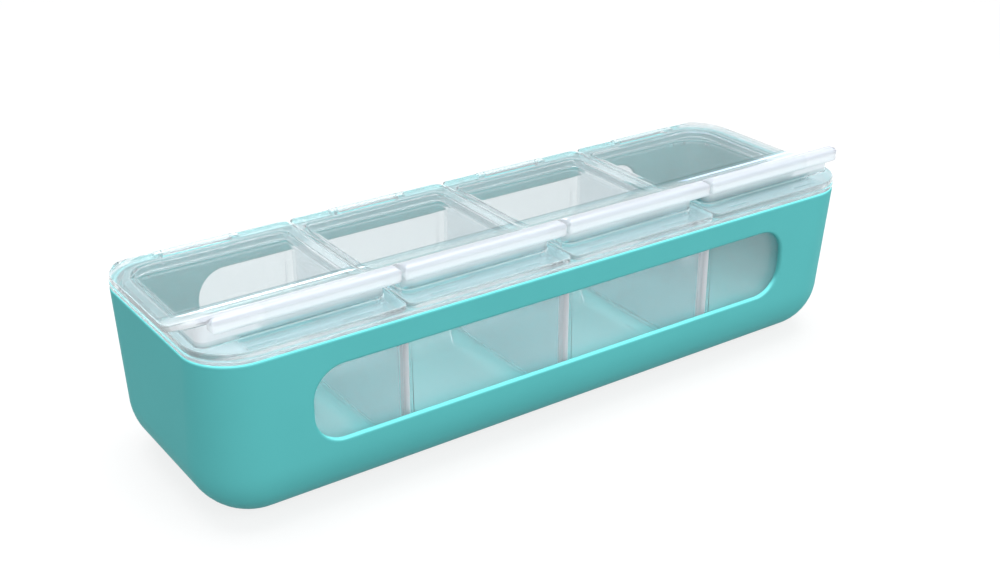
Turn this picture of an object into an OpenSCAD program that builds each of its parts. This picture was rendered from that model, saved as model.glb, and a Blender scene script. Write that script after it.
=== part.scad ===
// Condiment caddy: a rounded serving tray with a long window in its front and back,
// four lift-out bins, a clear lid frame that drops into the rim, and four flip lids
// that hinge on the frame. Millimetres, +Z up. The origin is the middle of the base,
// +X runs along the tray and +Y points to the hinge side.

/* [Tray] */
// Overall length at the rim
tray_length = 300; // [280:1:340]
// Overall depth at the rim
tray_width = 97; // [92:1:120]
// Height of the rim above the table
tray_height = 68; // [60:1:90]
// Corner radius of the rim, seen from above
rim_radius = 18.7; // [16:0.1:24]
// Radius of the rounded base edges
base_radius = 24; // [20:0.5:27]
// How far the sides lean in from the rim down to the base rounding
side_draft = 0.55; // [0.2:0.05:1.2]
// Wall and floor thickness
tray_wall = 2.6; // [2:0.1:3.4]

/* [Windows] */
// Length of the front and back windows
window_length = 222; // [180:1:230]
// Height of the windows
window_height = 29.5; // [24:0.5:34]
// Band of wall left between a window and the rim
window_drop = 10.5; // [9:0.5:14]
// Corner radius of the windows
window_radius = 12; // [6:0.5:12]

/* [Snap pockets] */
// Width of a snap pocket
pocket_width = 2.4; // [1.5:0.1:4]
// Height of a snap pocket
pocket_height = 1.7; // [1:0.1:2.5]
// Depth of a snap pocket in the wall
pocket_depth = 0.9; // [0.5:0.1:1.3]
// Middle of the pockets below the rim
pocket_drop = 6.4; // [5:0.1:8]

/* [Bins] */
// Distance from one compartment to the next
pitch = 72; // [68:0.5:74]
// Wall thickness of a bin
bin_wall = 1.7; // [1.2:0.1:2.2]
// Floor thickness of a bin
bin_floor = 1.9; // [1.4:0.1:2.6]
// Gap between neighbouring bins
bin_gap = 0.6; // [0.4:0.1:1]
// Gap between the bins and the tray wall
bin_side_gap = 0.9; // [0.6:0.1:1.2]
// Gap between the bins and the tray floor
bin_floor_gap = 0.3; // [0.2:0.1:0.6]
// Rim of the bins below the rim of the tray
bin_rim_drop = 5.2; // [5:0.1:7]
// Inside radius between the floor and the dividing walls
bin_foot_radius = 6; // [3:0.5:8]
// Outside radius of the upright corners at the dividing walls
bin_corner_radius = 4; // [3:0.5:6]

/* [Lid frame] */
// Gap between the rim and the flange of the frame
frame_seat_gap = 0.15; // [0.05:0.05:0.3]
// Thickness of the flange that lies on the rim
flange_thickness = 1.5; // [1.2:0.1:1.8]
// Depth of the skirt that centres the frame in the tray
skirt_depth = 4.8; // [3:0.1:4.8]
// Thickness of the skirt
skirt_thickness = 1.5; // [1:0.1:1.8]
// Gap between the skirt and the tray wall
skirt_gap = 0.35; // [0.2:0.05:0.5]
// Depth of the cross ribs under the flange
rib_depth = 2; // [1:0.1:3]

/* [Lids] */
// Thickness of the lid plates
lid_thickness = 2.35; // [2:0.05:2.6]
// Gap between a closed lid and the flange
lid_rest_gap = 0.3; // [0.2:0.05:0.5]
// Gap between neighbouring lids
lid_seam = 0.5; // [0.3:0.05:1]
// How far the lid edges stay inside the tray's outline
lid_edge_inset = 0.4; // [0.2:0.1:1]
// Back edge of the lids in front of the tray's back face
lid_back_inset = 3.3; // [2.8:0.1:4]
// Corner radius of the lids beside a seam
lid_corner_radius = 3.5; // [2:0.5:5]
// Chamfer under the back edge, which clears the flange as a lid opens
heel_chamfer = 0.5; // [0.4:0.1:0.8]

/* [Lid plug] */
// From a seam to the outside of the plug wall
plug_seam_border = 3.3; // [2.8:0.1:4.5]
// From the tray's end to the outside of the plug wall
plug_end_border = 7.7; // [6.5:0.1:10]
// From the tray's back face to the outside of the plug wall
plug_back_border = 7.9; // [7.7:0.1:10]
// From the tray's front face to the outside of the plug wall
neck_border = 10.5; // [10:0.1:14]
// Thickness of the plug wall
plug_wall = 1.5; // [1.2:0.1:2]
// Depth of the plug wall under the lid plate
plug_depth = 3.5; // [2:0.1:4.2]
// Gap between the plug wall and the edge of its aperture
plug_gap = 0.4; // [0.3:0.05:0.6]
// Outside corner radius of the plug beside a seam
plug_radius = 4.5; // [3:0.5:8]
// Outside corner radius of the plug at the tray's ends
plug_end_radius = 11; // [6:0.5:12]

/* [Lip] */
// Top of the lip above the lid plate
lip_rise = 12.5; // [10:0.5:16]
// Height of the rounded lip bar
bar_height = 6; // [5.8:0.1:8]
// Thickness of the rounded lip bar, front to back
bar_depth = 4.8; // [4.5:0.1:6]
// Edge radius of the lip bar
bar_radius = 2.2; // [1.5:0.1:2.2]
// Front of the lip bar behind the tray's front face
bar_inset = 4.2; // [3:0.1:6]
// Radius of the rounded ends of the lip bar, seen from the front
bar_end_radius = 2.9; // [1:0.1:2.9]
// Radius of the rounded ends of the lip bar, seen from above
bar_tip_radius = 2; // [1:0.1:2.1]
// From the tray's end to the end of the lip bar
bar_end_border = 5.6; // [5:0.1:8]
// Radius of the upper corners of the ramp beside a seam
ramp_corner_radius = 3.1; // [2:0.1:4]
// Radius of the upper corners of the ramp at the tray's ends
ramp_end_radius = 8; // [6:0.5:10]
// From the tray's end to the outside of the neck that carries the lip
neck_end_border = 3.3; // [3:0.1:7]
// Outside corner radius of the neck at the tray's ends
neck_end_radius = 4; // [3:0.5:8]
// Slope of the ramp behind the lip, in degrees
ramp_angle = 27; // [22:0.5:30]
// Radius of the sweep from the lid plate into the ramp
ramp_radius = 28; // [15:0.5:36]

/* [Hinges] */
// Hinge axis in front of the tray's back face
axis_inset = 4.1; // [3.9:0.1:4.4]
// Hinge axis under the top of the lid plate
axis_drop = 1; // [0.8:0.05:1.1]
// Radius of the hinge barrel and of the ears beside it
barrel_radius = 1.5; // [1.4:0.05:1.6]
// Width of the barrel
barrel_width = 28; // [20:0.5:34]
// Width of each ear
ear_width = 2.7; // [2:0.1:4]
// Side gap between the barrel and an ear
ear_gap = 0.3; // [0.2:0.05:0.5]
// Radius of the hinge pins, which are moulded on the barrel
pin_radius = 0.9; // [0.7:0.05:1]
// Radial play of a pin in its ear
pin_play = 0.05; // [0.02:0.01:0.09]
// How far a pin ends short of the outside of its ear
pin_recess = 0.3; // [0.1:0.1:0.8]

/* [Catches] */
// Distance between the middles of the two catches of a lid
catch_spacing = 37; // [28:0.5:44]
// Width of a catch
catch_width = 10.8; // [6:0.1:14]
// Thickness of a catch
catch_thickness = 1.2; // [0.8:0.1:1.3]
// Depth of a catch under the lid plate
catch_depth = 3; // [2:0.1:3.5]
// Middle of the catches behind the tray's front face
catch_inset = 5.9; // [5.7:0.1:6.5]
// Gap between a catch and its slot
catch_gap = 0.35; // [0.3:0.05:0.5]

/* [Hidden] */

$fn = 64;
ball_steps = 48;                  // facets round a rounded base corner
pocket_angles = [25, 68, 90];     // where the snap pockets sit round each corner
cells = 4;                        // compartments, each with a bin and a lid
overcut = 1;                      // how far a cut runs past a face
reach = tray_length + tray_width; // longer than anything that has to be trimmed

tray_colour = [0.36, 0.72, 0.73];
clear_colour = [0.82, 0.90, 0.92, 0.5];
bin_colour = [0.84, 0.86, 0.87, 0.5];

end_x = tray_length / 2;
front_y = -tray_width / 2;
back_y = tray_width / 2;

// Levels, from the rim upward
frame_seat_z = tray_height + frame_seat_gap;
flange_top_z = frame_seat_z + flange_thickness;
plate_z = flange_top_z + lid_rest_gap;
lid_top_z = plate_z + lid_thickness;
lip_top_z = lid_top_z + lip_rise;
bin_top_z = tray_height - bin_rim_drop;

// Lid features, front to back
bar_front_y = front_y + bar_inset;
bar_back_y = bar_front_y + bar_depth;
neck_y = front_y + neck_border;
catch_y = front_y + catch_inset;
plug_back_y = back_y - plug_back_border;
lid_back_y = back_y - lid_back_inset;
axis_y = back_y - axis_inset;
axis_z = lid_top_z - axis_drop;

// The ramp: an arc that leaves the flat plate, then a straight slope up to the bar
slope_top_z = lip_top_z - bar_radius * (1 - cos(ramp_angle));
arc_reach = ramp_radius * tan(ramp_angle / 2);
arc_start_y = bar_back_y + (slope_top_z - lid_top_z) / tan(ramp_angle) + arc_reach;

// The skirt follows the tray's inner wall at the level of the skirt's lower edge, where the
// wall has leaned in and its corners have opened out on the way to the base rounding
skirt_lean = (tray_height - frame_seat_z + skirt_depth) / (tray_height - base_radius);
skirt_inset = tray_wall + skirt_gap + side_draft * skirt_lean;
skirt_radius = rim_radius - tray_wall - skirt_gap + (base_radius - rim_radius) * skirt_lean;

// Half the width of one hinge, from the middle of the lid to the outside of an ear
hinge_half = barrel_width / 2 + ear_gap + ear_width;
ear_hole_radius = pin_radius + pin_play;

// Places along X of cell i, counted from the left
function is_first(i) = i == 0;
function is_last(i) = i == cells - 1;
function cell_mid(i) = (i - (cells - 1) / 2) * pitch;
function seam_left(i) = cell_mid(i) - pitch / 2;
function seam_right(i) = cell_mid(i) + pitch / 2;

// Sides of cell i, a border away from its seams or from the ends of the tray
function cell_x0(i, seam_border, end_border) =
    is_first(i) ? -end_x + end_border : seam_left(i) + seam_border;
function cell_x1(i, seam_border, end_border) =
    is_last(i) ? end_x - end_border : seam_right(i) - seam_border;

// Sides and middle of the plate of lid i
function lid_x0(i) = cell_x0(i, lid_seam / 2, lid_edge_inset);
function lid_x1(i) = cell_x1(i, lid_seam / 2, lid_edge_inset);
function lid_mid(i) = (lid_x0(i) + lid_x1(i)) / 2;

// A rectangle whose two left corners have one radius and its two right corners another
module rounded_rect(x0, x1, y0, y1, left_radius, right_radius) {
    middle = (x0 + x1) / 2;
    half_rounded_rect(x0, middle, y0, y1, left_radius);
    mirror([1, 0]) half_rounded_rect(-x1, -middle, y0, y1, right_radius);
}

// The left half of such a rectangle
module half_rounded_rect(x0, x1, y0, y1, radius) {
    translate([x0 + radius, y0]) square([x1 - x0 - radius, y1 - y0]);
    translate([x0, y0 + radius]) square([radius + 0.01, y1 - y0 - 2 * radius]);
    for (y = [y0 + radius, y1 - radius])
        translate([x0 + radius, y]) circle(radius);
}

// An outline drawn in from the tray's by inset, with its own corner radius
module ring_outline(inset, radius) {
    rounded_rect(-end_x + inset, end_x - inset, front_y + inset, back_y - inset, radius, radius);
}

// The tray's outline from above, drawn in by inset
module tray_outline(inset) {
    ring_outline(inset, rim_radius - inset);
}

// Extrudes a profile drawn as (y, z) along X
module along_x(x0, x1) {
    translate([x0, 0, 0]) rotate([90, 0, 90]) linear_extrude(x1 - x0) children();
}

// Extrudes a profile drawn as (x, z) along Y
module along_y(y0, y1) {
    translate([0, y1, 0]) rotate([90, 0, 0]) linear_extrude(y1 - y0) children();
}

// A ball with points at its poles and on its equator
module ball(radius) {
    rotate_extrude($fn = ball_steps) intersection() {
        circle(radius, $fn = ball_steps);
        translate([0, -radius]) square([radius, 2 * radius]);
    }
}

// The rounded, slightly leaning form of the tray, drawn in by inset, from floor_z up
module tray_form(inset, floor_z, top_z) {
    rim_x = end_x - rim_radius;
    rim_y = back_y - rim_radius;
    base_x = end_x - side_draft - base_radius;
    base_y = back_y - side_draft - base_radius;
    hull() {
        for (sx = [-1, 1], sy = [-1, 1]) {
            translate([sx * rim_x, sy * rim_y, top_z - 0.01])
                cylinder(h = 0.01, r = rim_radius - inset, $fn = ball_steps);
            translate([sx * base_x, sy * base_y, floor_z + base_radius - inset])
                ball(base_radius - inset);
        }
    }
}

// The long window through the front and back walls
module window_cut() {
    top_z = tray_height - window_drop;
    along_y(front_y - overcut, back_y + overcut)
        rounded_rect(-window_length / 2, window_length / 2, top_z - window_height, top_z,
                     window_radius, window_radius);
}

// Three shallow pockets round each inside corner of the tray
module snap_pockets() {
    inside_radius = rim_radius - tray_wall;
    for (sx = [-1, 1], sy = [-1, 1], angle = pocket_angles)
        scale([sx, sy, 1])
            translate([end_x - rim_radius, back_y - rim_radius, tray_height - pocket_drop])
                rotate([0, 0, angle])
                    translate([inside_radius - overcut, -pocket_width / 2, -pocket_height / 2])
                        cube([overcut + pocket_depth, pocket_width, pocket_height]);
}

module outer_tray() {
    color(tray_colour) difference() {
        tray_form(0, 0, tray_height);
        tray_form(tray_wall, tray_wall, tray_height + overcut);
        window_cut();
        snap_pockets();
    }
}

// One bin's form, drawn in by inset, with its floor at floor_z
module bin_form(i, inset, floor_z, top_z) {
    x0 = is_first(i) ? -reach : seam_left(i) + bin_gap / 2 + inset;
    x1 = is_last(i) ? reach : seam_right(i) - bin_gap / 2 - inset;
    foot = bin_foot_radius + bin_wall - inset;
    corner = bin_corner_radius - inset;
    side_inset = tray_wall + bin_side_gap + inset;
    intersection() {
        tray_form(side_inset, floor_z, tray_height);
        along_y(-reach, reach) rounded_rect(x0, x1, floor_z, reach, foot, foot);
        linear_extrude(top_z)
            rounded_rect(x0, x1, front_y + side_inset, back_y - side_inset, corner, corner);
    }
}

module bin(i) {
    floor_z = tray_wall + bin_floor_gap;
    color(bin_colour) difference() {
        bin_form(i, 0, floor_z, bin_top_z);
        bin_form(i, bin_wall, floor_z + bin_floor, tray_height);
    }
}

// The outline of one plug wall, or of its aperture when grown by the plug gap
module plug_outline(i, grow) {
    rounded_rect(cell_x0(i, plug_seam_border, plug_end_border) - grow,
                 cell_x1(i, plug_seam_border, plug_end_border) + grow,
                 neck_y - grow, plug_back_y + grow,
                 (is_first(i) ? plug_end_radius : plug_radius) + grow,
                 (is_last(i) ? plug_end_radius : plug_radius) + grow);
}

// The outline of the neck over one plug, which reaches further out at the tray's ends
module neck_outline(i, grow) {
    rounded_rect(cell_x0(i, plug_seam_border, neck_end_border) - grow,
                 cell_x1(i, plug_seam_border, neck_end_border) + grow,
                 neck_y - grow, plug_back_y + grow,
                 (is_first(i) ? neck_end_radius : plug_radius) + grow,
                 (is_last(i) ? neck_end_radius : plug_radius) + grow);
}

// Places its children at the left and right catch of lid i
module at_catches(i) {
    for (side = [-1, 1])
        translate([cell_mid(i) + side * catch_spacing / 2, catch_y, 0]) children();
}

// Places its children at the left and right ear of hinge i, mirrored for the right one
module at_ears(i) {
    for (side = [-1, 1])
        translate([lid_mid(i), axis_y, axis_z]) scale([side, 1, 1])
            translate([hinge_half - ear_width, 0, 0]) children();
}

// A bearing ear that stands on the flange
module ear() {
    foot_z = frame_seat_z - axis_z;
    along_x(0, ear_width) {
        circle(barrel_radius);
        translate([-barrel_radius, foot_z]) square([2 * barrel_radius, -foot_z]);
    }
}

// The slot in the flange under one hinge barrel
module hinge_slot(i) {
    slot_half = barrel_width / 2 + ear_gap;
    slot_reach = barrel_radius + plug_gap;
    translate([lid_mid(i) - slot_half, axis_y - slot_reach, frame_seat_z - overcut])
        cube([2 * slot_half, 2 * slot_reach, flange_thickness + 2 * overcut]);
}

module lid_frame() {
    color(clear_colour) difference() {
        union() {
            translate([0, 0, frame_seat_z]) linear_extrude(flange_thickness) difference() {
                tray_outline(0);
                for (i = [0 : cells - 1]) plug_outline(i, plug_gap);
            }
            translate([0, 0, frame_seat_z - skirt_depth]) linear_extrude(skirt_depth) difference() {
                ring_outline(skirt_inset, skirt_radius);
                ring_outline(skirt_inset + skirt_thickness, skirt_radius - skirt_thickness);
            }
            for (i = [1 : cells - 1])
                cross_rib(seam_left(i));
            for (i = [0 : cells - 1])
                at_ears(i) ear();
        }
        for (i = [0 : cells - 1]) {
            hinge_slot(i);
            at_ears(i) along_x(-overcut, ear_width + overcut) circle(ear_hole_radius);
            at_catches(i) translate([0, 0, flange_top_z])
                cube([catch_width + 2 * catch_gap, catch_thickness + 2 * catch_gap,
                      2 * (flange_thickness + overcut)], center = true);
        }
    }
}

// A stiffening rib under the flange at one seam
module cross_rib(x) {
    rib_half = plug_seam_border - plug_gap;
    rib_reach = back_y - skirt_inset - skirt_thickness / 2;
    translate([x - rib_half, -rib_reach, frame_seat_z - rib_depth])
        cube([2 * rib_half, 2 * rib_reach, rib_depth]);
}

// The whole outline of lid i from above
module lid_outline(i) {
    x0 = is_first(i) ? -reach : seam_left(i) + lid_seam / 2;
    x1 = is_last(i) ? reach : seam_right(i) - lid_seam / 2;
    intersection() {
        tray_outline(lid_edge_inset);
        rounded_rect(x0, x1, front_y + lid_edge_inset, lid_back_y,
                     lid_corner_radius, lid_corner_radius);
    }
}

// The (y, z) region under the ramp, lowered by drop, from the bar back to the flat plate
module under_ramp(drop) {
    arc_radius = ramp_radius + drop;
    arc_centre = [arc_start_y, lid_top_z + ramp_radius];
    arc_end = arc_centre - arc_radius * [sin(ramp_angle), cos(ramp_angle)];
    bar_mid_y = (bar_front_y + bar_back_y) / 2;
    slope_end_z = arc_end[1] + (arc_end[0] - bar_mid_y) * tan(ramp_angle);
    low_z = plate_z - plug_depth;
    difference() {
        polygon([[arc_start_y, low_z], [arc_start_y, lid_top_z - drop], arc_end,
                 [bar_mid_y, slope_end_z], [bar_mid_y, low_z]]);
        translate(arc_centre) circle(arc_radius, $fn = 180);
    }
}

// The plate of lid i, open where the hollow ridge rises from it
module lid_plate(i) {
    translate([0, 0, plate_z]) linear_extrude(lid_thickness) difference() {
        lid_outline(i);
        intersection() {
            plug_outline(i, -plug_wall);
            translate([-reach, front_y]) square([2 * reach, arc_start_y - front_y]);
        }
        for (side = [-1, 1])
            translate([lid_mid(i), axis_y]) scale([side, 1]) ear_notch();
    }
}

// The notch in the back edge of a lid plate round one ear
module ear_notch() {
    notch_reach = barrel_radius + plug_gap;
    translate([barrel_width / 2, -notch_reach])
        square([ear_gap + ear_width + plug_gap, 2 * notch_reach]);
}

// The sloping skin between the plate and the lip, with its upper corners rounded
module ramp_skin(i) {
    intersection() {
        linear_extrude(lip_top_z) lid_outline(i);
        along_x(-reach, reach) difference() {
            under_ramp(0);
            under_ramp(lid_thickness);
        }
        along_y(front_y, back_y)
            rounded_rect(lid_x0(i), lid_x1(i), 0, lip_top_z,
                         is_first(i) ? ramp_end_radius : ramp_corner_radius,
                         is_last(i) ? ramp_end_radius : ramp_corner_radius);
    }
}

// The plug wall under the plate
module plug(i) {
    translate([0, 0, plate_z - plug_depth]) linear_extrude(plug_depth + lid_thickness / 2)
        difference() {
            plug_outline(i, 0);
            plug_outline(i, -plug_wall);
        }
}

// The neck, which rises from the plate to the ramp and carries the lip
module neck(i) {
    intersection() {
        translate([0, 0, plate_z + lid_thickness / 2]) linear_extrude(lip_rise) difference() {
            neck_outline(i, 0);
            neck_outline(i, -plug_wall);
        }
        along_x(-reach, reach) under_ramp(lid_thickness / 2);
    }
}

// The bar along the front of the lip, rounded all round
module lip_bar(i) {
    x0 = cell_x0(i, lid_seam / 2, bar_end_border);
    x1 = cell_x1(i, lid_seam / 2, bar_end_border);
    intersection() {
        along_x(x0, x1)
            rounded_rect(bar_front_y, bar_back_y, lip_top_z - bar_height, lip_top_z,
                         bar_radius, bar_radius);
        along_y(front_y, back_y)
            rounded_rect(x0, x1, lip_top_z - bar_height, lip_top_z,
                         bar_end_radius, bar_end_radius);
        linear_extrude(lip_top_z)
            rounded_rect(x0, x1, bar_front_y, bar_back_y, bar_tip_radius, bar_tip_radius);
    }
}

// The hinge barrel with a pin moulded on each end
module hinge_barrel(i) {
    pin_half = hinge_half - pin_recess;
    translate([lid_mid(i), axis_y, axis_z]) rotate([0, 90, 0]) {
        cylinder(h = barrel_width, r = barrel_radius, center = true);
        cylinder(h = 2 * pin_half, r = pin_radius, center = true);
    }
}

module lid(i) {
    color(clear_colour) difference() {
        union() {
            lid_plate(i);
            ramp_skin(i);
            plug(i);
            neck(i);
            lip_bar(i);
            hinge_barrel(i);
            at_catches(i) translate([-catch_width / 2, -catch_thickness / 2, plate_z - catch_depth])
                cube([catch_width, catch_thickness, catch_depth + lid_thickness / 2]);
        }
        heel_cut(i);
    }
}

// The chamfer under the back edge, on both sides of the hinge
module heel_cut(i) {
    for (side = [-1, 1])
        translate([lid_mid(i), 0, 0]) scale([side, 1, 1]) along_x(hinge_half, reach)
            polygon([[lid_back_y - heel_chamfer, plate_z - overcut],
                     [lid_back_y - heel_chamfer, plate_z],
                     [lid_back_y + overcut, plate_z + heel_chamfer + overcut],
                     [lid_back_y + overcut, plate_z - overcut]]);
}

outer_tray();
bin(0);  // bin_1
bin(1);  // bin_2
bin(2);  // bin_3
bin(3);  // bin_4
lid_frame();
lid(0);  // lid_1
lid(1);  // lid_2
lid(2);  // lid_3
lid(3);  // lid_4
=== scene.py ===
"""Condiment caddy: teal tray, four clear bins, clear lid frame and four clear flip lids."""
import math

import bmesh
import bpy
from mathutils import Matrix, Vector


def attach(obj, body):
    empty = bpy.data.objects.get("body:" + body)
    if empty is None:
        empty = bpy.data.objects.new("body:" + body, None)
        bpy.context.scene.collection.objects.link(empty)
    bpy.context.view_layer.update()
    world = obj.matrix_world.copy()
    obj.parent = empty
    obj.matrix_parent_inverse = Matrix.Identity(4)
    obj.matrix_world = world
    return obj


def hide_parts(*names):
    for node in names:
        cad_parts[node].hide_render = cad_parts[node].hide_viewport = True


MM = 0.001

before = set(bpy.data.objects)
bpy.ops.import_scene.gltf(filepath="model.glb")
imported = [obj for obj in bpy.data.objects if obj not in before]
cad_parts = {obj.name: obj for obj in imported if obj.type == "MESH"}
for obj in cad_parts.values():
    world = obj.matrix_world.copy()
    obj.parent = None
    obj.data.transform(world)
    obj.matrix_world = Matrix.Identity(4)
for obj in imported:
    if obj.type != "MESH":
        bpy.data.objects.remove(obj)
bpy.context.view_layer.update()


# ---------------------------------------------------------------- sizes of the shapes, in mm
HALF_LENGTH, HALF_WIDTH, RIM_Z = 150.0, 48.5, 68.0
RIM_RADIUS, BASE_RADIUS, DRAFT, WALL = 18.7, 24.0, 0.55, 2.6
BASE_START, BASE_STEPS = 1.5, 14        # sections round the base: first angle, and steps up
WINDOW_HALF, WINDOW_LOW, WINDOW_HIGH, WINDOW_RADIUS = 111.0, 28.0, 57.5, 12.0
WINDOW_REACH = 60                       # its cutter goes this far to the front and back
POCKET_Z, POCKET_WIDE, POCKET_HIGH, POCKET_DEEP = 61.6, 2.4, 1.7, 0.9
POCKET_ROOM = 1                         # its cutter stands this far out of the wall
POCKET_ANGLES = (25, 68, 90)

# Widths of the rounded edges. A face beside one has to be EDGE_ROOM times as wide or more.
TRAY_EDGE, FRAME_EDGE, CLEAR_EDGE = 1.2, 0.3, 0.4
EDGE_ROOM = 1.3

# Places where flat faces are split, so that none of them closes round a hole.
LID_MIDDLES = (-108, -36, 36, 108)
CATCH_X = 18.5                          # a snap catch's place beside the middle of its lid
FRAME_SPLITS_X = (-72.1, 0.1, 72.1)
LID_SPLITS_Y, LID_SPLITS_Z = (-42.6, 5.0, 44.4), (71.3,)
BIN_SPLITS_Y = (0.3,)

# Y and Z past which the hinge barrels and ears, and the lip bar, are rounded already.
HINGE_FROM, BAR_FROM = (42.3, 69.8), (-39, 78.5)

# Tolerances of the clean-up, in m and in degrees.
WELD, ON_PLANE, FLAT_ANGLE = 2e-6, 1e-7, 0.6


# ---------------------------------------------------------------- mesh helpers
def new_object(name, data):
    ob = bpy.data.objects.new(name, data)
    bpy.context.scene.collection.objects.link(ob)
    return ob


def from_bmesh(name, bm):
    mesh = bpy.data.meshes.new(name)
    bm.normal_update()
    bm.to_mesh(mesh)
    bm.free()
    return new_object(name, mesh)


def bake_modifiers(ob):
    """Replaces ob's mesh by what its modifiers make of it."""
    graph = bpy.context.evaluated_depsgraph_get()
    graph.update()
    mesh = bpy.data.meshes.new_from_object(ob.evaluated_get(graph), depsgraph=graph)
    ob.modifiers.clear()
    old, ob.data = ob.data, mesh
    bpy.data.meshes.remove(old)


def add_bevel(ob, width, segments, angle, plain=None):
    """Rounds the edges where two faces meet at more than angle degrees and are wide enough,
    but not those at places, in mm, for which plain is true."""
    bm = bmesh.new()
    bm.from_mesh(ob.data)
    weight = bm.edges.layers.float.new("bevel_weight_edge")
    for e in bm.edges:
        if len(e.link_faces) == 2 and e.calc_face_angle(0) > math.radians(angle):
            room = min(f.calc_area() for f in e.link_faces) / e.calc_length()
            keep = plain and any(plain(v.co / MM) for v in e.verts)
            e[weight] = float(room > EDGE_ROOM * width * MM and not keep)
    bm.to_mesh(ob.data)
    bm.free()
    mod = ob.modifiers.new("bevel", "BEVEL")
    mod.width, mod.segments = width * MM, segments
    mod.limit_method = "WEIGHT"
    mod.use_clamp_overlap = False
    mod.miter_outer = "MITER_ARC"


def cut_out(ob, cutter):
    """Takes the cutter's form out of ob, and removes the cutter."""
    mod = ob.modifiers.new("cut", "BOOLEAN")
    mod.operation, mod.object, mod.solver = "DIFFERENCE", cutter, "EXACT"
    bake_modifiers(ob)
    bpy.data.objects.remove(cutter)


def smooth(ob, angle):
    """Smooth faces, with sharp edges where two faces meet at more than angle degrees, and
    with normals that lean to the larger faces."""
    bm = bmesh.new()
    bm.from_mesh(ob.data)
    for f in bm.faces:
        f.smooth = True
    for e in bm.edges:
        e.smooth = len(e.link_faces) == 2 and e.calc_face_angle(0) < math.radians(angle)
    bm.to_mesh(ob.data)
    bm.free()
    mod = ob.modifiers.new("normals", "WEIGHTED_NORMAL")
    mod.keep_sharp, mod.weight = True, 50


def rounded_outline(half_x, half_y, radius, steps=16):
    """Points of a rounded rectangle, anticlockwise from the right corner's start."""
    points = []
    for k, (sx, sy) in enumerate(((1, 1), (-1, 1), (-1, -1), (1, -1))):
        for n in range(steps + 1):
            a = math.radians(90 * k + 90 * n / steps)
            points.append((sx * (half_x - radius) + radius * math.cos(a),
                           sy * (half_y - radius) + radius * math.sin(a)))
    return points


def bridge(bm, low, high):
    """Faces between two closed rings of the same number of vertices."""
    for n in range(len(low)):
        m = (n + 1) % len(low)
        bm.faces.new((low[n], low[m], high[m], high[n]))


def prism(name, outline, place):
    """A closed solid: outline points put in space by place(point, 0) and place(point, 1)."""
    bm = bmesh.new()
    low, high = ([bm.verts.new(place(p, end)) for p in outline] for end in (0, 1))
    bm.faces.new(reversed(low))
    bm.faces.new(high)
    bridge(bm, low, high)
    bmesh.ops.recalc_face_normals(bm, faces=bm.faces)
    return from_bmesh(name, bm)


# ---------------------------------------------------------------- the tray
def tray_rings(bm, inset, floor_z):
    """Sections of the tray's form, drawn in by inset, from the floor up to the rim."""
    sections = []
    ball = BASE_RADIUS - inset
    core_x = HALF_LENGTH - DRAFT - BASE_RADIUS
    core_y = HALF_WIDTH - DRAFT - BASE_RADIUS
    for angle in [BASE_START] + [90 * n / BASE_STEPS for n in range(1, BASE_STEPS + 1)]:
        a = math.radians(angle)
        r = ball * math.sin(a)
        z = floor_z + ball * (1 - math.cos(a))
        sections.append((rounded_outline(core_x + r, core_y + r, r), z))
    rim = rounded_outline(HALF_LENGTH - inset, HALF_WIDTH - inset, RIM_RADIUS - inset)
    sections.append((rim, RIM_Z))
    return [[bm.verts.new((x * MM, y * MM, z * MM)) for x, y in points]
            for points, z in sections]


def tray_shell():
    bm = bmesh.new()
    outer = tray_rings(bm, 0, 0)
    inner = tray_rings(bm, WALL, WALL)
    for rings in (outer, inner):
        for low, high in zip(rings, rings[1:]):
            bridge(bm, low, high)
    bm.faces.new(reversed(outer[0]))
    bm.faces.new(inner[0])
    bridge(bm, outer[-1], inner[-1])
    bmesh.ops.recalc_face_normals(bm, faces=bm.faces)
    return from_bmesh("tray_shell", bm)


def window_cutter():
    """A bar that goes through the front and the back wall."""
    middle = (WINDOW_LOW + WINDOW_HIGH) / 2
    half_high = (WINDOW_HIGH - WINDOW_LOW) / 2
    outline = rounded_outline(WINDOW_HALF, half_high, WINDOW_RADIUS, steps=20)
    ends = (-WINDOW_REACH * MM, WINDOW_REACH * MM)
    return prism("window_cutter", outline,
                 lambda p, end: (p[0] * MM, ends[end], (p[1] + middle) * MM))


def pocket_cutter():
    """Small boxes for the snap pockets inside the tray's four round corners."""
    bm = bmesh.new()
    out = RIM_RADIUS - WALL + POCKET_DEEP / 2 - POCKET_ROOM / 2
    size = Matrix.Diagonal(((POCKET_DEEP + POCKET_ROOM) * MM, POCKET_WIDE * MM,
                            POCKET_HIGH * MM, 1))
    for sx in (-1, 1):
        for sy in (-1, 1):
            corner = Matrix.Translation((sx * (HALF_LENGTH - RIM_RADIUS) * MM,
                                         sy * (HALF_WIDTH - RIM_RADIUS) * MM,
                                         POCKET_Z * MM))
            for angle in POCKET_ANGLES:
                turn = (Matrix.Diagonal((sx, sy, 1, 1))
                        @ Matrix.Rotation(math.radians(angle), 4, "Z"))
                spot = corner @ turn @ Matrix.Translation((out * MM, 0, 0)) @ size
                bmesh.ops.create_cube(bm, size=1, matrix=spot)
    bmesh.ops.recalc_face_normals(bm, faces=bm.faces)
    return from_bmesh("pocket_cutter", bm)


def make_tray():
    tray = tray_shell()
    cut_out(tray, window_cutter())
    add_bevel(tray, TRAY_EDGE, segments=4, angle=55)
    bake_modifiers(tray)
    cut_out(tray, pocket_cutter())
    smooth(tray, angle=32)
    return tray


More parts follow.
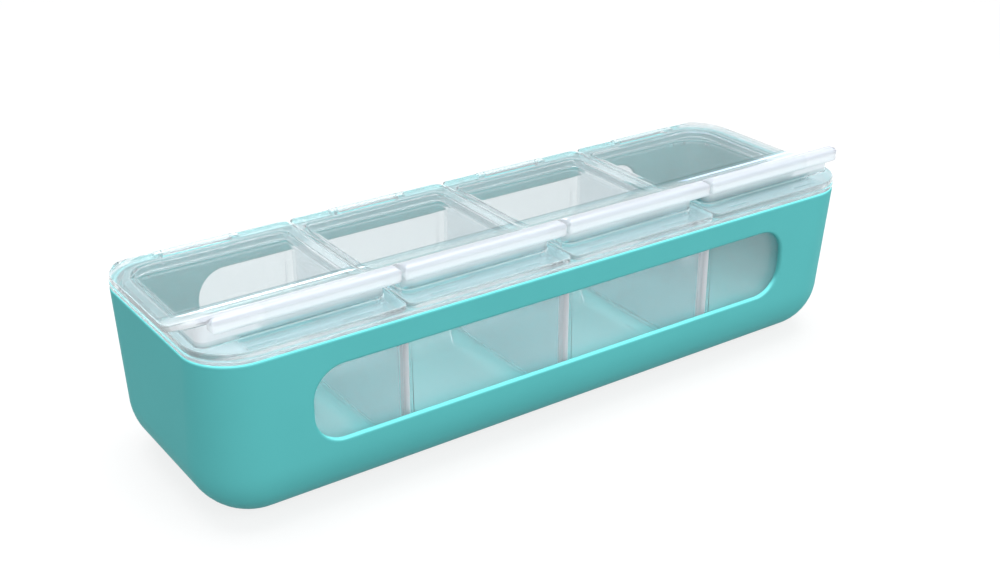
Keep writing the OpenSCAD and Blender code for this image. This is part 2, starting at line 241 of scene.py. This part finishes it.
# ---------------------------------------------------------------- clear parts
def dressed_copy(node, name, width, splits, plain=None):
    """The CAD node's own form with its sharp moulded edges rounded, which take the second
    material. Splits are the places along X, Y and Z where flat faces are split, and plain is
    a test for places that keep their edges; both in mm."""
    bm = bmesh.new()
    bm.from_mesh(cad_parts[node].data)
    bmesh.ops.remove_doubles(bm, verts=bm.verts, dist=WELD)
    for axis, places in enumerate(splits):
        normal = Vector([float(axis == n) for n in range(3)])
        for place in places:
            made = bmesh.ops.bisect_plane(bm, geom=bm.verts[:] + bm.edges[:] + bm.faces[:],
                                          dist=ON_PLANE, plane_co=normal * place * MM,
                                          plane_no=normal)
            for e in made["geom_cut"]:
                if isinstance(e, bmesh.types.BMEdge):
                    e.seam = True
    bmesh.ops.dissolve_limit(bm, angle_limit=math.radians(FLAT_ANGLE), delimit={"SEAM"},
                             use_dissolve_boundaries=False, verts=bm.verts, edges=bm.edges)
    ob = from_bmesh(name, bm)
    for _ in range(2):
        ob.data.materials.append(None)
    add_bevel(ob, width, segments=2, angle=32, plain=plain)
    ob.modifiers["bevel"].material = 1
    bake_modifiers(ob)
    smooth(ob, angle=50)
    return ob


def at_hinge_or_bar(place):
    """The small barrels and ears, and the bar, which the CAD rounds already; in mm."""
    return ((place.y > HINGE_FROM[0] and place.z > HINGE_FROM[1])
            or (place.y < BAR_FROM[0] and place.z > BAR_FROM[1]))


# ---------------------------------------------------------------- shader helpers
def empty_tree(owner):
    """The node tree of a new material or world, with no nodes in it."""
    owner.use_nodes = True
    owner.node_tree.nodes.clear()
    return owner.node_tree


def feed(tree, socket, value):
    """Links another node's output to the socket, or sets the socket to a number or colour."""
    if isinstance(value, bpy.types.NodeSocket):
        tree.links.new(value, socket)
    elif isinstance(value, tuple):
        socket.default_value = (*value, 1)
    else:
        socket.default_value = value


def add_node(tree, kind, inputs=(), **settings):
    node = tree.nodes.new(kind)
    for key, value in settings.items():
        setattr(node, key, value)
    for key, value in dict(inputs).items():
        feed(tree, node.inputs[key], value)
    return node


def calc(tree, operation, first, second=None):
    node = add_node(tree, "ShaderNodeMath", operation=operation)
    feed(tree, node.inputs[0], first)
    if second is not None:
        feed(tree, node.inputs[1], second)
    return node.outputs["Value"]


def ramp_up(tree, value, low, high, start=0.0, end=1.0):
    """Goes smoothly from start to end while value goes from low to high."""
    node = add_node(tree, "ShaderNodeMapRange", {"Value": value, "From Min": low, "From Max": high,
                                                 "To Min": start, "To Max": end},
                    interpolation_type="SMOOTHSTEP")
    return node.outputs["Result"]


def split_xyz(tree, vector):
    return add_node(tree, "ShaderNodeSeparateXYZ", {"Vector": vector}).outputs


def place_xyz(tree):
    """The place on the object, in m."""
    return split_xyz(tree, add_node(tree, "ShaderNodeTexCoord").outputs["Object"])


def mixed(tree, share, first, second):
    """The first colour with a share of the second."""
    node = add_node(tree, "ShaderNodeMix", {"Factor": share, "A": first, "B": second},
                    data_type="RGBA")
    return node.outputs["Result"]


def mixed_shaders(tree, share, first, second):
    """The first shader with a share of the second."""
    node = add_node(tree, "ShaderNodeMixShader", {"Fac": share})
    feed(tree, node.inputs[1], first.outputs[0])
    feed(tree, node.inputs[2], second.outputs[0])
    return node


def plastic_texture(tree, scale, relief, bump):
    """Object-space noise: a faint tone change, and the relief of a moulded surface."""
    place = add_node(tree, "ShaderNodeTexCoord").outputs["Object"]
    broad = add_node(tree, "ShaderNodeTexNoise",
                     {"Vector": place, "Scale": scale, "Detail": 3.0, "Roughness": 0.5})
    fine = add_node(tree, "ShaderNodeTexNoise",
                    {"Vector": place, "Scale": relief, "Detail": 2.0, "Roughness": 0.6})
    grain = add_node(tree, "ShaderNodeBump",
                     {"Height": fine.outputs["Fac"], "Strength": bump, "Distance": 0.0001})
    return broad.outputs["Fac"], grain.outputs["Normal"]


def uneven(tree, texture, low, high):
    """A roughness that wanders between low and high with the texture."""
    node = add_node(tree, "ShaderNodeMapRange", {"Value": texture, "To Min": low, "To Max": high})
    return node.outputs["Result"]


# ---------------------------------------------------------------- materials
TEAL_TONES = ((0.3, (0.101, 0.465, 0.468)), (0.7, (0.109, 0.490, 0.493)))
TEAL_PAINTED_HIGHLIGHT = (0.20, 0.77, 0.77)
OUTER_Y, AT_RIM_Z = 0.0453, 0.0655          # in m: the outer walls, and the top of the tray
SLOPE, FLAT = (0.3, 0.75), (0.85, 0.98)     # Z of the normal where the painted highlight comes, and goes


def teal_plastic():
    """Teal, with a painted highlight: paler where the rounded edges of the rim and of the window's
    sill lean upward.
    """
    mat = bpy.data.materials.new("teal_plastic")
    tree = empty_tree(mat)
    broad, grain = plastic_texture(tree, scale=14.0, relief=840.0, bump=0.12)
    tone = add_node(tree, "ShaderNodeValToRGB", {"Fac": broad})
    for stop, (position, colour) in zip(tone.color_ramp.elements, TEAL_TONES):
        stop.position, stop.color = position, (*colour, 1)
    upward = split_xyz(tree, add_node(tree, "ShaderNodeNewGeometry").outputs["Normal"])["Z"]
    place = place_xyz(tree)
    outer = calc(tree, "GREATER_THAN", calc(tree, "ABSOLUTE", place["Y"]), OUTER_Y)
    at_rim = calc(tree, "GREATER_THAN", place["Z"], AT_RIM_Z)
    # Painted highlight: the pale colour goes on upward-leaning faces at the rim and on the outer
    # walls, but not on the rim's flat top.
    flat_rim = calc(tree, "MULTIPLY", at_rim, ramp_up(tree, upward, *FLAT))
    painted_highlight = calc(tree, "MULTIPLY", ramp_up(tree, upward, *SLOPE),
                calc(tree, "MAXIMUM", outer, at_rim))
    painted_highlight = calc(tree, "MULTIPLY", painted_highlight, calc(tree, "SUBTRACT", 1.0, flat_rim))
    skin = add_node(tree, "ShaderNodeBsdfPrincipled", {
        "Base Color": mixed(tree, painted_highlight, tone.outputs["Color"], TEAL_PAINTED_HIGHLIGHT),
        "Roughness": uneven(tree, broad, 0.38, 0.46), "Normal": grain,
        "IOR": 1.15, "Specular IOR Level": 0.12})
    add_node(tree, "ShaderNodeOutputMaterial", {"Surface": skin.outputs["BSDF"]})
    return mat


def clear_plastic(name, tint, bend, gloss, gloss_rough, rough, haze, milk,
                  shade=(0.97, 0.98, 0.985)):
    """Clear moulded plastic with a share of milky haze. The lamps and the room's soft light
    pass through it with no more than a shade. Tint, haze and milk are values, or functions
    that build them from the place on the object."""
    mat = bpy.data.materials.new(name)
    tree = empty_tree(mat)
    tint, haze, milk = (v(tree) if callable(v) else v for v in (tint, haze, milk))
    broad, grain = plastic_texture(tree, scale=30.0, relief=90.0, bump=0.05)
    glass = add_node(tree, "ShaderNodeBsdfPrincipled", {
        "Base Color": tint, "Transmission Weight": 1.0, "IOR": bend,
        "Coat Weight": gloss, "Coat Roughness": gloss_rough, "Coat IOR": 1.5,
        "Roughness": uneven(tree, broad, *rough), "Normal": grain})
    milky = add_node(tree, "ShaderNodeBsdfPrincipled", {"Base Color": milk, "Roughness": 0.28})
    film = add_node(tree, "ShaderNodeBsdfTransparent", {"Color": shade})
    path = add_node(tree, "ShaderNodeLightPath").outputs
    passing = calc(tree, "MAXIMUM", path["Is Shadow Ray"], path["Is Diffuse Ray"])
    both = mixed_shaders(tree, passing, mixed_shaders(tree, haze, glass, milky), film)
    add_node(tree, "ShaderNodeOutputMaterial", {"Surface": both.outputs["Shader"]})
    return mat


# Where the look of a lid changes, in m along X, Y or Z: from the first place to the second.
SHOULDER_X, SHOULDER_Y, SHOULDER_Z = (0.117, 0.127), (-0.012, -0.024), (0.0728, 0.0748)
FLARE_X, FLARE_Y, FLARE_Z = (0.129, 0.136), (-0.002, -0.016), (0.0705, 0.0735)
LIP_Y, LIP_Z, LIP_BACK_HIGHER = (-0.036, -0.030), (0.0712, 0.0765), 0.0055
FRONT_Y = (-0.0446, -0.0455)
RAMP_Y, PLATE_TOP_Z = (-0.0078, -0.0082), 0.0719
LINE_Y, LINE_HALF = -0.0083, 0.0004
WHITE_Z, BAR_TOP_Z = (0.0740, 0.0775), (0.0820, 0.0838)

# The flare's and the shoulder's shares are painted highlight: milky white laid over the shade at
# the lids' ends.
PLATE_HAZE, LIP_HAZE, FLARE_PAINTED_HIGHLIGHT, SHOULDER_PAINTED_HIGHLIGHT, FRONT_HAZE = 0.07, 0.64, 0.6, 0.72, 0.2
# The ramp's and the line's tints are painted shade: darker glass where the lid rises to its lip,
# and a dark line where the rise begins.
PLATE_TINT, RAMP_PAINTED_SHADE = (0.89, 0.93, 0.935), (0.42, 0.66, 0.69)
LINE_PAINTED_SHADE, LINE_SHARE = (0.12, 0.2, 0.21), 0.6
# The bar top's milk is painted shade: a greyer colour along the lip's rounded top.
PLATE_MILK, LIP_MILK, BAR_TOP_PAINTED_SHADE = (0.62, 0.70, 0.73), (0.92, 0.935, 0.97), (0.60, 0.61, 0.67)


def lid_shoulder(tree, place):
    """1 at the raised outer ends of the row of lids, beside and beyond the lip bar's ends."""
    outward = ramp_up(tree, calc(tree, "ABSOLUTE", place["X"]), *SHOULDER_X)
    raised = calc(tree, "MULTIPLY", ramp_up(tree, place["Y"], *SHOULDER_Y),
                  ramp_up(tree, place["Z"], *SHOULDER_Z))
    return calc(tree, "MULTIPLY", outward, raised)


def lid_haze(tree):
    """The thick lip and its neck look milky; the plate of the lid stays clear. The flared ends and
    the raised outer ends beside the bar get a painted highlight of milky white over their shade.
    """
    place = place_xyz(tree)
    shift = ramp_up(tree, place["Y"], *LIP_Y, 0.0, LIP_BACK_HIGHER)
    lip = ramp_up(tree, calc(tree, "SUBTRACT", place["Z"], shift), *LIP_Z, PLATE_HAZE, LIP_HAZE)
    # Painted highlight: milky white on the flared ends and the raised shoulders, over the shade
    # beneath them.
    end = calc(tree, "MULTIPLY", ramp_up(tree, calc(tree, "ABSOLUTE", place["X"]), *FLARE_X),
               ramp_up(tree, place["Y"], *FLARE_Y))
    painted_flare = calc(tree, "MULTIPLY", end, ramp_up(tree, place["Z"], *FLARE_Z, 0.0, FLARE_PAINTED_HIGHLIGHT))
    painted_shoulder = calc(tree, "MULTIPLY", lid_shoulder(tree, place), SHOULDER_PAINTED_HIGHLIGHT)
    front = ramp_up(tree, place["Y"], *FRONT_Y, 0.0, FRONT_HAZE)
    milky = calc(tree, "MAXIMUM", calc(tree, "MAXIMUM", painted_flare, painted_shoulder), front)
    return calc(tree, "MAXIMUM", lip, milky)


def lid_tint_and_painted_shade(tree):
    """Painted shade in the lid's glass: a deeper tint where the lid begins to rise to its lip, and
    a painted dark line at the start.
    """
    place = place_xyz(tree)
    above = calc(tree, "GREATER_THAN", place["Z"], PLATE_TOP_Z)
    # Painted shade: a deeper tint on the rising ramp, and a dark line at its start.
    painted_ramp_shade = calc(tree, "MULTIPLY", ramp_up(tree, place["Y"], *RAMP_Y), above)
    beside = calc(tree, "ABSOLUTE", calc(tree, "SUBTRACT", place["Y"], LINE_Y))
    line = calc(tree, "MULTIPLY", calc(tree, "LESS_THAN", beside, LINE_HALF), above)
    return mixed(tree, calc(tree, "MULTIPLY", line, LINE_SHARE),
                 mixed(tree, painted_ramp_shade, PLATE_TINT, RAMP_PAINTED_SHADE), LINE_PAINTED_SHADE)


def lid_milk(tree):
    """The lip is whiter than the plate. The raised outer ends are painted as white as the lip, a
    painted highlight, and a painted shade makes the lip a little greyer along its rounded top.
    """
    place = place_xyz(tree)
    white = calc(tree, "MAXIMUM", ramp_up(tree, place["Z"], *WHITE_Z),
                 lid_shoulder(tree, place))
    return mixed(tree, ramp_up(tree, place["Z"], *BAR_TOP_Z),
                 mixed(tree, white, PLATE_MILK, LIP_MILK), BAR_TOP_PAINTED_SHADE)


# In m: the seams between bins, at 0 and at SEAM_X on both sides, and the front corners there.
SEAM_X, CORNER_HALF, CORNER_Y = 0.072, 0.00125, -0.0395
BIN_HAZE, CORNER_PAINTED_HIGHLIGHT = 0.06, 0.9           # the corner's painted highlight comes on top of the bin's haze


def bin_haze_and_highlight(tree):
    """A painted highlight: the upright front corners where two bins stand side by side get a milky
    strip over the shade between them, on top of the bins' faint haze.
    """
    place = place_xyz(tree)
    across = calc(tree, "ABSOLUTE", place["X"])
    beside = calc(tree, "ABSOLUTE", calc(tree, "SUBTRACT", across, SEAM_X))
    near = calc(tree, "LESS_THAN", calc(tree, "MINIMUM", across, beside), CORNER_HALF)
    # Painted highlight: a milky strip at the front corners beside each seam.
    corner = calc(tree, "MULTIPLY", near, calc(tree, "LESS_THAN", place["Y"], CORNER_Y))
    return calc(tree, "ADD", calc(tree, "MULTIPLY", corner, CORNER_PAINTED_HIGHLIGHT), BIN_HAZE)


# How much of the floor is paper that shows the shadow, and where in m that fades away.
SHADOW_SHARE, SHADOW_FADE = 0.2, (0.25, 0.9)


def stage_material():
    """A floor that looks white under a faint shadow, and that throws back little light."""
    mat = bpy.data.materials.new("pale_floor")
    tree = empty_tree(mat)
    white = add_node(tree, "ShaderNodeEmission", {"Color": (1, 1, 1)})
    paper = add_node(tree, "ShaderNodeBsdfDiffuse", {"Color": (0.9, 0.9, 0.9)})
    ground = add_node(tree, "ShaderNodeBsdfDiffuse", {"Color": (0.29, 0.29, 0.29)})
    place = place_xyz(tree)
    away = calc(tree, "SQRT", calc(tree, "ADD", calc(tree, "POWER", place["X"], 2.0),
                                   calc(tree, "POWER", place["Y"], 2.0)))
    seen = mixed_shaders(tree, ramp_up(tree, away, *SHADOW_FADE, SHADOW_SHARE, 0.0), white, paper)
    path = add_node(tree, "ShaderNodeLightPath").outputs
    both = mixed_shaders(tree, path["Is Diffuse Ray"], seen, ground)
    add_node(tree, "ShaderNodeOutputMaterial", {"Surface": both.outputs["Shader"]})
    return mat


# ---------------------------------------------------------------- pieces
def place_piece(ob, node, body, slot, *materials):
    """Puts the object in the CAD node's place, on its body, with these materials."""
    while len(ob.data.materials) < len(materials):
        ob.data.materials.append(None)
    for n, material in enumerate(materials):
        ob.data.materials[n] = material
    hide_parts(node)
    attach(ob, body)


teal = teal_plastic()
lid_clear = clear_plastic("lid_plastic", tint=lid_tint_and_painted_shade, bend=1.18, gloss=0.8,
                          gloss_rough=0.05, rough=(0.03, 0.06), haze=lid_haze, milk=lid_milk)
frame_clear = clear_plastic("frame_plastic", tint=(0.90, 0.955, 0.96), bend=1.12, gloss=0.8,
                            gloss_rough=0.05, rough=(0.14, 0.20),
                            haze=0.15, milk=(0.66, 0.76, 0.79))
bin_clear = clear_plastic("bin_plastic", tint=(0.89, 0.92, 0.93), bend=1.05, gloss=0.5,
                          gloss_rough=0.15, rough=(0.04, 0.08),
                          haze=bin_haze_and_highlight, milk=(0.84, 0.82, 0.86), shade=(0.975, 0.98, 0.98))
edge_clear = clear_plastic("moulded_edge", tint=(0.93, 0.97, 0.975), bend=1.12, gloss=0.5,
                           gloss_rough=0.15, rough=(0.12, 0.18),
                           haze=0.27, milk=(0.68, 0.78, 0.81))

place_piece(make_tray(), "outer_tray", "tray", "tray_plastic", teal)
catches = [middle + side * CATCH_X for middle in LID_MIDDLES for side in (-1, 1)]
frame_splits = ([*LID_MIDDLES, *catches, *FRAME_SPLITS_X], LID_SPLITS_Y, LID_SPLITS_Z)
place_piece(dressed_copy("lid_frame", "clear_frame", FRAME_EDGE, frame_splits, at_hinge_or_bar),
            "lid_frame", "frame", "frame_plastic", frame_clear, edge_clear)
for k, middle in enumerate(LID_MIDDLES, 1):
    bin_splits = ((middle,), BIN_SPLITS_Y, ())
    place_piece(dressed_copy(f"bin_{k}", f"clear_bin_{k}", CLEAR_EDGE, bin_splits),
                f"bin_{k}", f"bin_{k}", "bin_plastic", bin_clear, edge_clear)
    lid_splits = ((middle - CATCH_X, middle, middle + CATCH_X), LID_SPLITS_Y, LID_SPLITS_Z)
    place_piece(dressed_copy(f"lid_{k}", f"clear_lid_{k}", CLEAR_EDGE, lid_splits,
                             at_hinge_or_bar),
                f"lid_{k}", f"lid_{k}", "lid_plastic", lid_clear, edge_clear)


# ---------------------------------------------------------------- stage and light
FLOOR_HALF, FLOOR_ENDS = 6000, (-5, -0.05)      # in mm: half its side, its bottom and top

# The brightness of the room that reflections see: a darker band some way above the ground.
# Each pair is the upward part of the direction, and the strength there.
ROOM_GLOW = ((0.0, 0.8), (0.22, 0.8), (0.32, 0.3), (0.5, 0.3), (0.7, 0.9))

# Name, place, aim, size in m, and power in W.
LAMPS = (("top_light", (0.1, 0.15, 1.3), (0, 0, 0.05), (1.4, 1.0), 19.5),
         ("front_light", (0.15, -1.43, 0.75), (0, 0, 0.05), (2.2, 1.3), 17.2),
         ("side_light", (-1.3, -0.3, 0.4), (0, 0, 0.04), (0.7, 0.6), 2.4))

# Name, azimuth and height in degrees, size in m, power in W, and colour.
STREAKS = (("streak_left", 20.5, 19.0, (0.33, 0.2), 1.5, (1, 1, 1)),
           ("streak_right", 46.5, 11.5, (0.27, 0.17), 0.55, (0.55, 0.68, 1)))
STREAK_AIM, STREAK_AWAY = (0, 0, 0.07), 2.0


def make_floor():
    corners = ((-1, -1), (1, -1), (1, 1), (-1, 1))
    floor = prism("floor", corners, lambda p, end: (p[0] * FLOOR_HALF * MM,
                                                    p[1] * FLOOR_HALF * MM,
                                                    FLOOR_ENDS[end] * MM))
    floor.data.materials.append(stage_material())


def make_world():
    """White to the camera and through glass, and a plain soft light on the object."""
    world = bpy.data.worlds.new("studio")
    bpy.context.scene.world = world
    tree = empty_tree(world)
    white = add_node(tree, "ShaderNodeBackground", {"Color": (1, 1, 1)})
    soft = add_node(tree, "ShaderNodeBackground", {"Color": (0.96, 0.98, 1.0), "Strength": 0.52})
    upward = split_xyz(tree, add_node(tree, "ShaderNodeTexCoord").outputs["Generated"])["Z"]
    glow = add_node(tree, "ShaderNodeValToRGB", {"Fac": upward})
    stops = glow.color_ramp.elements
    stops[-1].position = ROOM_GLOW[-1][0]
    for position, _ in ROOM_GLOW[1:-1]:
        stops.new(position)
    for stop, (_, level) in zip(stops, ROOM_GLOW):
        stop.color = (level, level, level, 1)
    room = add_node(tree, "ShaderNodeBackground",
                    {"Color": (0.97, 0.99, 1.0), "Strength": glow.outputs["Color"]})
    path = add_node(tree, "ShaderNodeLightPath").outputs
    around = mixed_shaders(tree, path["Is Glossy Ray"], white, room)
    both = mixed_shaders(tree, path["Is Diffuse Ray"], around, soft)
    add_node(tree, "ShaderNodeOutputWorld", {"Surface": both.outputs["Shader"]})


def area_light(name, location, target, size, power, colour=(1, 1, 1)):
    lamp = bpy.data.lights.new(name, "AREA")
    lamp.shape, lamp.size, lamp.size_y = "RECTANGLE", size[0], size[1]
    lamp.energy, lamp.color = power, colour
    ob = new_object(name, lamp)
    ob.location = location
    ob.rotation_euler = (Vector(target) - Vector(location)).to_track_quat("-Z", "Y").to_euler()


def direction_at(azimuth, elevation):
    """The way to the back, +Y, turned towards +X by azimuth and up by elevation; radians."""
    return Vector((math.sin(azimuth) * math.cos(elevation),
                   math.cos(azimuth) * math.cos(elevation), math.sin(elevation)))


def streak_light(name, azimuth, height, size, power, colour):
    """A low strip of light behind the caddy, which draws a line where a lid's ramp begins."""
    spot = direction_at(math.radians(azimuth), math.radians(height)) * STREAK_AWAY
    area_light(name, spot, STREAK_AIM, size, power, colour)


make_floor()
make_world()
for lamp in LAMPS:
    area_light(*lamp)
for streak in STREAKS:
    streak_light(*streak)


# ---------------------------------------------------------------- camera
LENS, SENSOR = 50.71, 36.0                      # in mm
AZIMUTH, ELEVATION, ROLL = 35.192, 25.028, 0.189
AIM, AWAY = (11.183, 16.297, 33.94), 595.78     # in mm


def make_camera():
    camera = bpy.data.cameras.new("camera")
    camera.lens, camera.sensor_width = LENS, SENSOR
    camera.clip_start, camera.clip_end = 0.05, 20.0
    view = new_object("camera", camera)
    azimuth, elevation, roll = (math.radians(a) for a in (AZIMUTH, ELEVATION, ROLL))
    forward = direction_at(azimuth, -elevation)
    right = Vector((math.cos(azimuth), -math.sin(azimuth), 0))
    up = right.cross(forward)
    right, up = (right * math.cos(roll) + up * math.sin(roll),
                 up * math.cos(roll) - right * math.sin(roll))
    spot = Matrix((right, up, -forward)).transposed().to_4x4()
    spot.translation = Vector(AIM) * MM - forward * AWAY * MM
    view.matrix_world = spot
    bpy.context.scene.camera = view


make_camera()
bpy.context.scene.view_settings.view_transform = "Standard"
